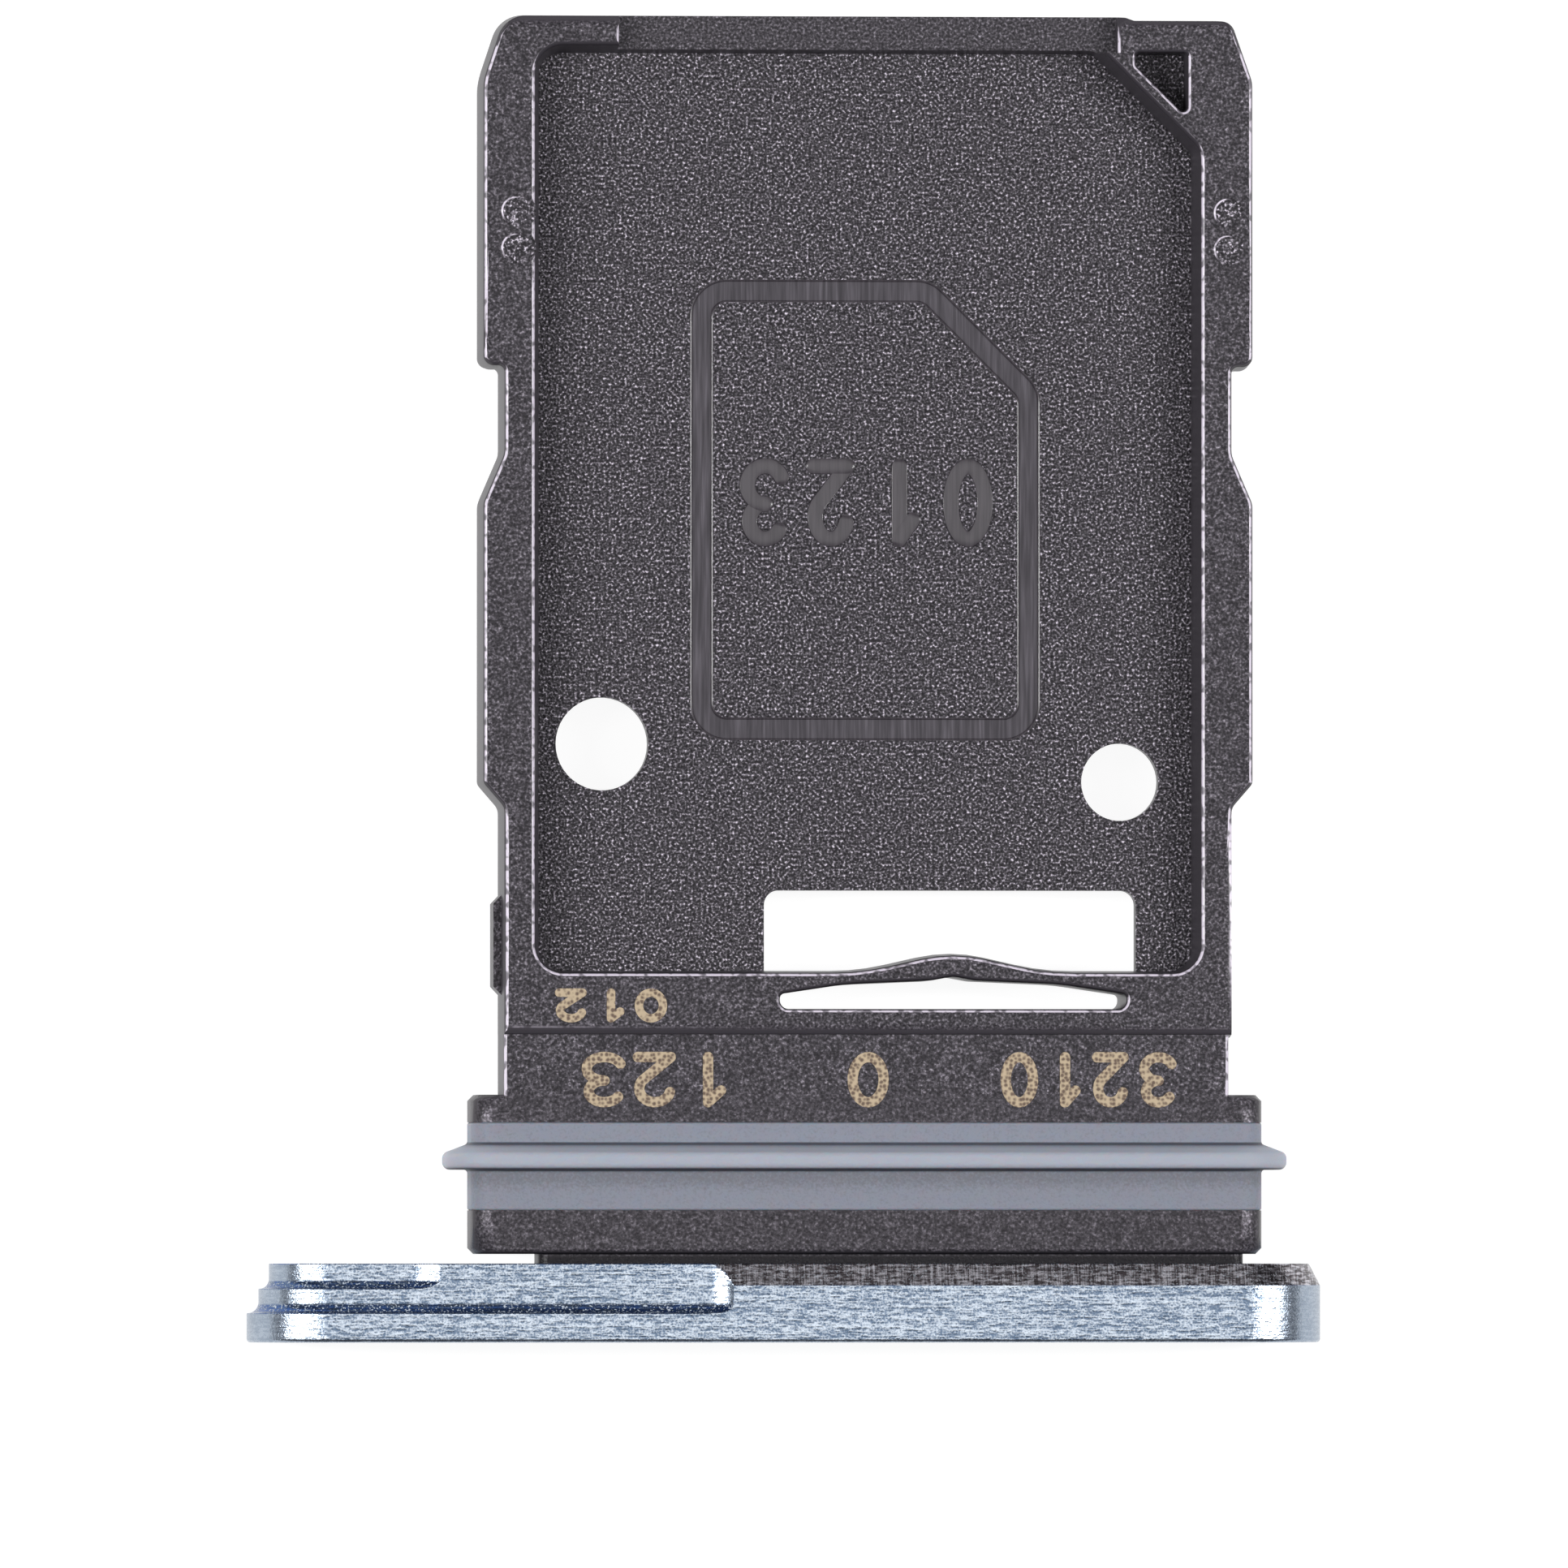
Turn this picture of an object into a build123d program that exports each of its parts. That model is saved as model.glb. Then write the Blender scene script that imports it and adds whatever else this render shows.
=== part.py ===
import os
from math import radians, tan

from build123d import *

# All sizes in millimetres. The tray lies flat, +Y is the way it is pushed in, +Z is up.

# The card that each pocket takes, with its play at the sides and at the ends
card_width = 8.80
card_length = 12.30
card_side_play = 0.03
card_end_play = 0.06

# Pockets, one on each side of the floor
pocket_depth = 0.62
pocket_draft = 8.0
end_draft = 3.0
pocket_corner = 0.30
key_leg = 1.34
key_round = 0.25
floor_thickness = 0.31

# Rails, tip and side notches; lengths along the side are measured back from the tip
rail_wall = 0.82
tip_wall = 0.515
side_draft = 3.0
lead_in_inset = 0.30
lead_in_length = 0.90
left_nose_round = 0.43
left_lead_in_round = 0.80
right_nose_round = 0.23
right_lead_in_round = 0.44
nose_setback = 0.045
setback_start = 0.12
setback_ramp = 0.12
setback_round = 0.15
tab_length = 4.80
tab_round = 0.17
notch_depth = 0.285
notch_length = 1.15
notch_ramp = 0.66
notch_round = 0.30
wide_length = 3.81
step_length = 0.33
step_round = 0.16
edge_round = 0.06
edge_break = 0.06

# Tip rim between the corner blocks, and the blocks' sloped front edges
rim_height = 0.29
rim_half_width = 3.38
slope_length = 0.20
slope_drop = 0.13

# Hollow in the block behind the key corner
core_side_wall = 0.92
core_tip_wall = 0.515
core_key_wall = 0.26
core_width = 0.70
core_round = 0.06

# Shallow card outline in the pocket floor, placed from the pocket's tip wall
outline_width = 4.75
outline_length = 6.24
outline_leg = 1.47
outline_corner = 0.50
outline_line = 0.31
outline_depth = 0.03
outline_from_tip = 3.06

# Holes in the floor, placed from the centre line and from the pocket's end wall
left_hole_radius = 0.63
left_hole_offset = 3.57
left_hole_height = 3.07
right_hole_radius = 0.525
right_hole_offset = 3.46
right_hole_height = 2.56

# Spring finger with a hump in its middle, and the window in front of it
finger_offset = 1.15
hump_foot = 1.25
hump_rise = 0.285
hump_foot_round = 3.50
hump_top_round = 2.00
window_width = 5.05
window_length = 1.09
window_corner = 0.20

# Slot behind the finger, heights measured from the slot's straight side
slot_back = 0.52
slot_half = 2.35
slot_end = 0.20
slot_shoulder_half = 1.45
slot_shoulder = 0.335
slot_notch_half = 0.30
slot_notch = 0.385
slot_peak = 0.44
slot_back_round = 0.12
slot_end_round = 0.07
slot_shoulder_round = 3.50
slot_notch_round = 0.50
slot_peak_round = 0.30

# End wall of the pocket and the neck behind it
end_wall = 0.90
end_round = 0.20
neck_length = 0.78
neck_drop = 0.10
neck_inset = 0.02
neck_offset = -0.02

# Small detent rib on the rail's left side, measured back from the tip
rib_start = 11.87
rib_length = 1.44
rib_ramp = 0.16
rib_proud = 0.09
rib_height = 0.70

# Seal flange, flush with the neck, and its groove, from the cap's side forwards
flange_width = 10.73
flange_round = 0.33
flange_lip = 0.59
flange_shoulder = 0.37
flange_edge_break = 0.08
groove_depth = 0.25

# Silicone ring with a lip-shaped bead, steep on the cap's side and sloped on the other
seal_width = 1.19
bead_start = 0.55
bead_crest = 0.22
bead_slope = 0.13
bead_proud = 0.34
bead_round = 0.10

# Tongue that the cap sits on
tongue_gap = 0.13
tongue_width = 9.57
tongue_offset = 0.33
tongue_thickness = 0.95
tongue_round = 0.15
tongue_seat = 0.55
glue_gap = 0.02

# Cap, a bar with full round ends; depths are measured from its outer face
cap_length = 14.57
cap_height = 2.33
cap_depth = 1.065
cap_offset = 1.09
face_round = 0.05
bevel_depth = 0.77
bevel_inset = 0.155

# Two steps milled round the cap's left end by a round-nosed cutter
plate_depth = 0.395
outer_cut = 0.16
outer_nose = 0.15
outer_stop = 6.10
ledge_depth = 0.33
inner_cut = 0.14
inner_nose = 0.13
inner_stop = 2.13
cutter_radius = 0.36
cutter_spare = 0.10

# Hole for the eject pin, placed from the cap's left end
eject_radius = 0.55
eject_end = 1.19
eject_lip = 0.14

# Heights and places that follow from the sizes above
floor_top = floor_thickness / 2
body_half = floor_top + pocket_depth
pocket_width = card_width + 2 * card_side_play
pocket_length = card_length + 2 * card_end_play
side_half = pocket_width / 2 + rail_wall
notch_half = side_half - notch_depth
flange_length = flange_lip + seal_width + flange_shoulder
flange_y = cap_depth + tongue_gap
seal_y = flange_y + flange_lip
neck_y = flange_y + flange_length
neck_half = body_half - neck_drop
rim_y = neck_y + neck_length
pocket_y = rim_y + end_wall
pocket_tip_y = pocket_y + pocket_length
tip_y = pocket_tip_y + tip_wall
beyond = 2 * body_half


def slab(face, low, high):
    # A flat outline raised between two heights
    return extrude(Pos(0, 0, low) * face, amount=high - low)


def across(section, y):
    # A section drawn in X and Z, set up across the tray at y
    return Plane.XZ.offset(-y) * section


def bar(section, low, high):
    # A section carried along Y from low to high
    return extrude(across(section, high), amount=high - low)


def rounding(x, y, side, radius):
    # What rounding a corner takes off; the solid lies below it and on the given side
    square = Pos(x, y) * Rectangle(2 * radius, 2 * radius)
    return square - Pos(x + side * radius, y - radius) * Circle(radius)


def turned_over(cutter):
    # A cut in the upper face and the same cut turned over about the centre line
    return [cutter, Rot(0, 180, 0) * cutter]


def card_corners(width, length, leg, key_side):
    # Corners of a card about its middle, the key corner cut off on one side
    x = width / 2
    y = length / 2
    points = [(-x, -y), (x, -y), (x, y - leg), (x - leg, y), (-x, y)]
    return [(key_side * px, py) for px, py in points]


def rail_points():
    # One side of the tray in plan, from the neck to the lead-in at the tip
    ramp_top = tip_y - tab_length - notch_length
    ramp_foot = ramp_top - notch_ramp
    step_top = ramp_foot - wide_length
    return [
        (notch_half, rim_y),
        (notch_half, step_top - step_length),
        (side_half, step_top),
        (side_half, ramp_foot),
        (notch_half, ramp_top),
        (notch_half, tip_y - tab_length),
        (side_half, tip_y - tab_length),
        (side_half, tip_y - lead_in_length),
    ]


def side_outline():
    # The tray's outline in plan: right rail, nose with its setback, left rail
    right = rail_points()
    left = [(-x, y) for x, y in reversed(right)]
    nose_half = side_half - lead_in_inset
    ramp_x = rim_half_width + setback_start
    nose = [(nose_half, tip_y - nose_setback), (ramp_x + setback_ramp, tip_y - nose_setback)]
    nose += [(ramp_x, tip_y), (-nose_half, tip_y)]
    rail_radii = [0, step_round, step_round, notch_round, notch_round, edge_round, tab_round]
    radii = rail_radii + [right_lead_in_round, right_nose_round, setback_round, setback_round]
    radii += [left_nose_round, left_lead_in_round] + rail_radii[::-1]
    return make_face(FilletPolyline(*right, *nose, *left, radius=radii, close=True))


def plate():
    # The solid plate that the pockets are sunk into, with leaning sides and broken rim edges
    lean = body_half * tan(radians(side_draft))
    outline = side_outline()
    upper = loft([outline, Pos(0, 0, body_half) * offset(outline, amount=-lean)], ruled=True)
    upper = chamfer(upper.faces().sort_by(Axis.Z)[-1].edges(), edge_break)
    return upper + mirror(upper, about=Plane.XY)


def pocket_outline(key_side, height, flare=0):
    # A pocket's outline at a height above its floor, with the finger's hump in its end wall
    spread = flare + height * tan(radians(pocket_draft))
    end_spread = flare + height * tan(radians(end_draft))
    leg = key_leg + (2 - 2**0.5) * spread
    length = pocket_length + spread + end_spread
    corners = card_corners(pocket_width + 2 * spread, length, leg, key_side)
    foot_y = -length / 2
    hump = [(-hump_foot, foot_y), (0, foot_y + hump_rise), (hump_foot, foot_y)]
    hump = [(x + finger_offset, y) for x, y in hump][::key_side]
    corner = pocket_corner + spread
    key = key_round + spread
    radii = [corner, hump_foot_round, hump_top_round, hump_foot_round, corner, key, key, corner]
    line = FilletPolyline(*corners[:1], *hump, *corners[1:], radius=radii, close=True)
    return Pos(0, pocket_y - end_spread + length / 2, floor_top + height) * make_face(line)


def pocket_cut(key_side):
    # One card pocket, its walls leaning outwards and its mouth flared to break the rim's edge
    wall = [pocket_outline(key_side, height) for height in (0, pocket_depth - edge_break)]
    mouth = pocket_outline(key_side, pocket_depth + edge_break, 2 * edge_break)
    return loft(wall + [mouth], ruled=True)


def flared_mouth(outline):
    # Breaks the edge that an upright cut leaves in the upper rim face
    low = Pos(0, 0, body_half - edge_break) * outline
    high = Pos(0, 0, body_half + edge_break) * offset(outline, amount=2 * edge_break)
    return loft([low, high], ruled=True)


def outline_cut():
    # The card outline, a shallow flat-bottomed line in the pocket floor
    corners = card_corners(outline_width, outline_length, outline_leg, 1)
    outer = make_face(FilletPolyline(*corners, radius=outline_corner, close=True))
    line = outer - offset(outer, amount=-outline_line)
    line = Pos(0, pocket_tip_y - outline_from_tip - outline_length / 2) * line
    return slab(line, floor_top - outline_depth, floor_top + outline_depth)


def rim_cut():
    # The lowered rim between the two corner blocks, whose edges are rounded
    rim_z = floor_top + rim_height
    section = Pos(0, (rim_z + beyond) / 2) * Rectangle(2 * rim_half_width, beyond - rim_z)
    for side in (-1, 1):
        section += rounding(side * rim_half_width, body_half, side, edge_round)
    return bar(section, pocket_tip_y, tip_y + tip_wall)


def slope_cut():
    # The sloped front edge that leads the tray into its slot
    wedge = Plane.YZ * make_face(
        Polyline(
            (tip_y - slope_length, body_half),
            (tip_y, body_half - slope_drop),
            (tip_y + slope_length, body_half - slope_drop),
            (tip_y + slope_length, body_half),
            close=True,
        )
    )
    return extrude(wedge, amount=side_half, both=True)


def end_cut():
    # The rounded edge where the end wall drops to the neck
    corner = Plane.YZ * rounding(rim_y, body_half, 1, end_round)
    return extrude(corner, amount=side_half, both=True)


def core_cut():
    # The hollow behind the key corner, with its long side parallel to the key
    right = side_half - core_side_wall
    left = right - core_width
    top = tip_y - core_tip_wall
    key_sum = pocket_width / 2 + pocket_tip_y - key_leg + core_key_wall * 2**0.5
    points = [(left, top), (right, top), (right, key_sum - right), (left, key_sum - left)]
    hollow = make_face(FilletPolyline(*points, radius=core_round, close=True))
    return slab(hollow, floor_top, beyond) + flared_mouth(hollow)


def floor_cuts():
    # The two round holes and the window, all through the floor
    left_hole = Pos(-left_hole_offset, pocket_y + left_hole_height) * Circle(left_hole_radius)
    right_hole = Pos(right_hole_offset, pocket_y + right_hole_height) * Circle(right_hole_radius)
    window = Rectangle(window_width, window_length)
    window = fillet(window.vertices().group_by(Axis.Y)[-1], window_corner)
    window = Pos(finger_offset, pocket_y + window_length / 2) * window
    window &= Pos(0, 0, -floor_top) * pocket_outline(1, 0)
    return [slab(hole, -body_half, body_half) for hole in (left_hole, right_hole, window)]


def finger_slot():
    # The slot behind the finger, straight at the back and arched along the finger
    right = [(slot_half, 0), (slot_half, slot_end), (slot_shoulder_half, slot_shoulder)]
    right += [(slot_notch_half, slot_notch)]
    left = [(-x, y) for x, y in reversed(right)]
    radii = [slot_back_round, slot_end_round, slot_shoulder_round, slot_notch_round]
    radii += [slot_peak_round] + radii[::-1]
    line = FilletPolyline(*right, (0, slot_peak), *left, radius=radii, close=True)
    slot = Pos(finger_offset, pocket_y - slot_back) * make_face(line)
    mouth = flared_mouth(slot)
    return slab(slot, -body_half, body_half) + mouth + mirror(mouth, about=Plane.XY)


def neck():
    # The bar between the pocket's end wall and the flange, its sides leaning like the rails
    half = notch_half - neck_inset
    top_half = half - neck_half * tan(radians(side_draft))
    right = [(top_half, -neck_half), (half, 0), (top_half, neck_half)]
    left = [(-x, z) for x, z in reversed(right)]
    radii = [edge_round, 0, edge_round]
    section = make_face(FilletPolyline(*right, *left, radius=radii + radii, close=True))
    return bar(Pos(neck_offset, 0) * section, neck_y - flange_shoulder / 2, rim_y + end_wall / 4)


def detent_rib():
    # A small rib low on the left rail
    root = -notch_half + edge_round
    crest = -notch_half - rib_proud
    top = tip_y - rib_start
    foot = top - rib_length
    points = [(root, foot), (crest, foot + rib_ramp), (crest, top - rib_ramp), (root, top)]
    return slab(make_face(Polyline(*points, close=True)), -rib_height / 2, rib_height / 2)


def flange_section(inset):
    # The flange's rounded section, made smaller all round by inset
    return RectangleRounded(flange_width - 2 * inset, 2 * (neck_half - inset), flange_round - inset)


def flange():
    # The seal flange, its edges broken at both ends
    body = bar(flange_section(0), flange_y, neck_y)
    ends = body.faces().sort_by(Axis.Y)
    return chamfer(ends[0].edges() + ends[-1].edges(), flange_edge_break)


def groove_ring():
    # The ring of space that the seal fills
    return bar(flange_section(0) - flange_section(groove_depth), seal_y, seal_y + seal_width)


def tongue(clearance):
    # The tongue, or with a clearance the socket that takes it
    section = RectangleRounded(
        tongue_width + 2 * clearance, tongue_thickness + 2 * clearance, tongue_round + clearance
    )
    return bar(Pos(tongue_offset, 0) * section, cap_depth - tongue_seat, flange_y + flange_lip / 2)


def tray_body():
    body = plate() - pocket_cut(1) - mirror(pocket_cut(-1), about=Plane.XY) - finger_slot()
    for cutter in (core_cut(), outline_cut(), rim_cut(), slope_cut(), end_cut()):
        body -= turned_over(cutter)
    body -= floor_cuts()
    body += [neck(), flange(), detent_rib(), tongue(0)]
    return body - groove_ring()


def tapered(section, low_inset, high_inset, low, high):
    # A stretch whose section changes evenly between two sizes
    return loft([across(section(low_inset), low), across(section(high_inset), high)], ruled=True)


def seal_ring():
    low = seal_y + bead_start
    crest = low + bead_crest
    bead = bar(flange_section(-bead_proud), low, crest)
    bead += tapered(flange_section, -bead_proud, 0, crest, crest + bead_slope)
    rows = bead.edges().group_by(Axis.Y)
    bead = fillet(rows[0] + rows[2], bead_round)
    bead -= bar(flange_section(groove_depth), low - beyond, crest + beyond)
    return groove_ring() + bead


def cap_section(inset):
    # The cap's outline, made smaller all round by inset
    return SlotOverall(cap_length - 2 * inset, cap_height - 2 * inset)


def milled_step(inset, cut, nose, low, stop):
    # What a round-nosed cutter takes off: along both sides, round the left end, and its run-out
    half = cap_height / 2 - inset
    stop_x = stop - cap_length / 2
    end_x = (cap_height - cap_length) / 2
    top = half + cut + cutter_spare
    back = cap_depth + cutter_spare
    corners = [(half, low), (top, low), (top, back), (half, back)]
    section = make_face(FilletPolyline(*corners, radius=[nose, 0, 0, 0], close=True))
    section = Plane((stop_x, 0, 0), x_dir=(0, 0, 1), z_dir=(-1, 0, 0)) * section
    side = extrude(section, amount=stop_x - end_x)
    runout = revolve(section, Axis((stop_x, 0, half + cutter_radius), (0, -1, 0)), 90)
    end = revolve(Pos(end_x - stop_x, 0, 0) * section, Axis((end_x, 0, 0), (0, -1, 0)), 180)
    return [side, runout, end] + [mirror(piece, about=Plane.XY) for piece in (side, runout)]


def cap():
    body = bar(cap_section(0), 0, bevel_depth) + tapered(cap_section, 0, bevel_inset, bevel_depth, cap_depth)
    body -= Pos(eject_end - cap_length / 2, 0, 0) * bar(Circle(eject_radius), 0, cap_depth)
    face = body.faces().sort_by(Axis.Y)[0]
    body = fillet(face.outer_wire().edges(), face_round)
    face = body.faces().sort_by(Axis.Y)[0]
    body = fillet(face.inner_wires()[0].edges(), eject_lip)
    body -= milled_step(outer_cut, outer_cut, outer_nose, plate_depth, outer_stop)
    body -= milled_step(outer_cut + inner_cut, inner_cut, inner_nose, plate_depth + ledge_depth, inner_stop)
    return body - Pos(cap_offset, 0, 0) * tongue(glue_gap)


to_middle = Pos(0, -tip_y / 2, cap_height / 2)
pieces = {
    "tray_body": to_middle * Pos(cap_offset, 0, 0) * tray_body(),
    "seal_ring": to_middle * Pos(cap_offset, 0, 0) * seal_ring(),
    "cap": to_middle * cap(),
}

os.makedirs("parts", exist_ok=True)
for name, piece in pieces.items():
    export_step(piece, f"parts/{name}.step")
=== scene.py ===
import math

import bpy
import numpy as np
from mathutils import Matrix, Vector


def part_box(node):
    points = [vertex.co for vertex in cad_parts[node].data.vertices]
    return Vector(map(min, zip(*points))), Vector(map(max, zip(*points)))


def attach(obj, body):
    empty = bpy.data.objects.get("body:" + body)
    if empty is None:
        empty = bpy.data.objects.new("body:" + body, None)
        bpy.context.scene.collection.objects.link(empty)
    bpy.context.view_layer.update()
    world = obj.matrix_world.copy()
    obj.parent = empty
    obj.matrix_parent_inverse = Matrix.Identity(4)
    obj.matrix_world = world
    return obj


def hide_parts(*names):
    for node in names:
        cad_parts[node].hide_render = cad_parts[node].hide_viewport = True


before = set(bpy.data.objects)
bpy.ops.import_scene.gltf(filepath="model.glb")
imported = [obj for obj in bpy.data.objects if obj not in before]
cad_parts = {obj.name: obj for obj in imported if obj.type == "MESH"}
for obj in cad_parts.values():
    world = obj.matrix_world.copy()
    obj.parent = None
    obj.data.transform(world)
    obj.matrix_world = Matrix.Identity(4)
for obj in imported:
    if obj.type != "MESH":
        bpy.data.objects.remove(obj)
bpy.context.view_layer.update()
mm = 0.001

# Places that every piece shares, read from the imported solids, in millimetres
trayHigh = np.array(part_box("tray_body")[1]) / mm
sealLow, sealHigh = (np.array(corner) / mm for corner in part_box("seal_ring"))
capLow, capHigh = (np.array(corner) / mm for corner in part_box("cap"))
capDepth = capHigh[1] - capLow[1]
middleZ = (capLow[2] + capHigh[2]) / 2
trayX = (sealLow[0] + sealHigh[0]) / 2
floorThickness = 0.31  # between the two pockets
floorTop = middleZ + floorThickness / 2
railTop = trayHigh[2]
print("frame loaded:", ", ".join(sorted(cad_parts)))


class Shade:
    # A shader socket with its tree: sums and products of these add Math nodes

    def __init__(self, tree, socket=None):
        self.tree = tree
        self.socket = socket

    def add(self, kind, settings=None, inputs=None, out=0):
        # a new node: its settings come first, then the values or links of its sockets
        node = self.tree.nodes.new(kind)
        for name, value in (settings or {}).items():
            setattr(node, name, value)
        for name, value in (inputs or {}).items():
            if isinstance(value, Shade):
                self.tree.links.new(value.socket, node.inputs[name])
            else:
                node.inputs[name].default_value = value
        return Shade(self.tree, node.outputs[out])

    def math(self, operation, *values):
        return self.add("ShaderNodeMath", {"operation": operation}, dict(enumerate(values)))

    def __add__(self, other):
        return self.math("ADD", self, other)

    def __sub__(self, other):
        return self.math("SUBTRACT", self, other)

    def __rsub__(self, other):
        return self.math("SUBTRACT", other, self)

    def __mul__(self, other):
        return self.math("MULTIPLY", self, other)

    __radd__ = __add__
    __rmul__ = __mul__

    def away(self, place):
        # distance from a value
        return self.math("ABSOLUTE", self - place)

    def over(self, low, high):
        # 0 below low, 1 above high, smooth between; high below low turns it round
        settings = {"interpolation_type": "SMOOTHSTEP"}
        inputs = {"Value": self, "From Min": low, "From Max": high}
        return self.add("ShaderNodeMapRange", settings, inputs)

    def blend(self, colourA, colourB):
        # colour A where this is 0, colour B where it is 1; a Mix node's colour sockets go by number
        inputs = {0: self, 6: colourA, 7: colourB}
        return self.add("ShaderNodeMix", {"data_type": "RGBA"}, inputs, out=2)

    def axis(self, name):
        return self.add("ShaderNodeSeparateXYZ", inputs={0: self}, out="XYZ".index(name))

    def stretched(self, x, y, z):
        # a vector times a factor for each axis
        return self.add("ShaderNodeVectorMath", {"operation": "MULTIPLY"}, {0: self, 1: (x, y, z)})

    def noise(self, scale, detail=2.0, rough=0.5):
        inputs = {"Vector": self, "Scale": scale, "Detail": detail, "Roughness": rough}
        return self.add("ShaderNodeTexNoise", inputs=inputs)

    def cells(self, scale, randomness=1.0):
        inputs = {"Vector": self, "Scale": scale, "Randomness": randomness}
        return self.add("ShaderNodeTexVoronoi", inputs=inputs)

    def bump(self, height, **inputs):
        # a normal tilted by this value, where 1 stands that many millimetres high
        inputs.update({"Strength": 1.0, "Distance": height * mm, "Height": self})
        return self.add("ShaderNodeBump", inputs=inputs)


def newMaterial(name, sockets):
    # An empty Principled material: its constant sockets set, and its coordinates in millimetres
    material = bpy.data.materials.new(name)
    material.use_nodes = True
    tree = material.node_tree
    shader = tree.nodes["Principled BSDF"]
    for socket, value in sockets.items():
        shader.inputs[socket].default_value = value
    start = Shade(tree)
    place = start.add("ShaderNodeTexCoord", out="Object").stretched(1 / mm, 1 / mm, 1 / mm)
    normal = start.add("ShaderNodeNewGeometry", out="Normal")

    def link(**inputs):
        for socket, value in inputs.items():
            tree.links.new(value.socket, shader.inputs[socket.replace("_", " ")])

    return material, place, normal, link


noiseMiddle = 0.5  # the value that noise swings about
brushLook = {"perMm": 26.0, "longPerMm": 1.2}  # the lines of a polished mould run towards the tip


def brushLines(place):
    # Noise drawn out along the tray
    long = brushLook["longPerMm"]
    return place.stretched(brushLook["perMm"], long, long).noise(1.0)


plasticLook = {
    "deep": (0.0095, 0.0080, 0.0105, 1),
    "glint": (0.80, 0.73, 0.84, 1),
    "specular": 0.22,
    "level": 0.057,  # share of glint colour at the grain's middle
    "grainPerMm": 28.0,  # spark-eroded craters
    "grainHeight": 0.012,  # mm, on the pocket floor
    "craterShare": 0.9,  # of the grain's height, with the soft noise and the brush lines
    "noiseShare": 1.1,
    "brushShare": 0.10,
    "rimGrain": 0.45,  # share of the grain's height on the rims
    "pocketSpeckle": 13.2,  # contrast of the grain's painted sparkle in the pockets, on the rims and in the card outline
    "rimSpeckle": 7.2,
    "brushSpeckle": 2.6,
    "flangeCalm": 0.25,  # contrast that the flange lacks
    "grainRoughness": 0.36,
    "edgeRoughness": 0.17,
    "wallRoughness": 0.38,
    "paintedEdgeGlint": 1.15,  # share of glint colour painted as a highlight on edges that face the lights, in dots
    "betweenDots": 0.2,  # share of that painted highlight between the dots
    "dotsPerMm": 9.0,
    "dotsRange": (0.34, 0.56),
    # painted highlight on the flange's rounded sides, where the side lights catch them
    "paintedFlangeHighlight": 2.2,
    "pocketShade": 0.13,
    "recessShine": 0.58,
    "tongueShade": 0.97,
    "flangeTop": (0.385, 0.345),  # mm from the seal's upper edge: grain goes round the flange's sides
    "tongueTop": (-0.595, -0.635),  # mm from the seal's lower edge
    "tipSlope": (-0.48, -0.43),  # mm from the tip: the lead-in slope gets no painted edge highlight
    "pocketHeight": (0.32, 0.24),  # mm from the tray's middle
    "recessHeight": (0.148, 0.138),
    "recessLevel": (0.90, 0.98),  # how much a face looks up or down, for these eight pairs
    "flatLevel": (0.92, 0.985),
    "flangeLevel": (0.45, 0.75),
    "wallLevel": (0.30, 0.10),
    "edgeLevel": (0.25, 0.50),
    "edgeEnd": (0.98, 0.90),
    "shineLevel": (0.78, 0.90),
    "shineEnd": (0.995, 0.97),
    "shineFacing": (0.3, 0.1),  # how much it looks towards the tip, for the last three
    "tipFacing": (0.10, 0.25),
    "edgeFacing": (-0.30, -0.10),  # edges that face the cap, away from the lights, get no painted highlight
}


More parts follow.
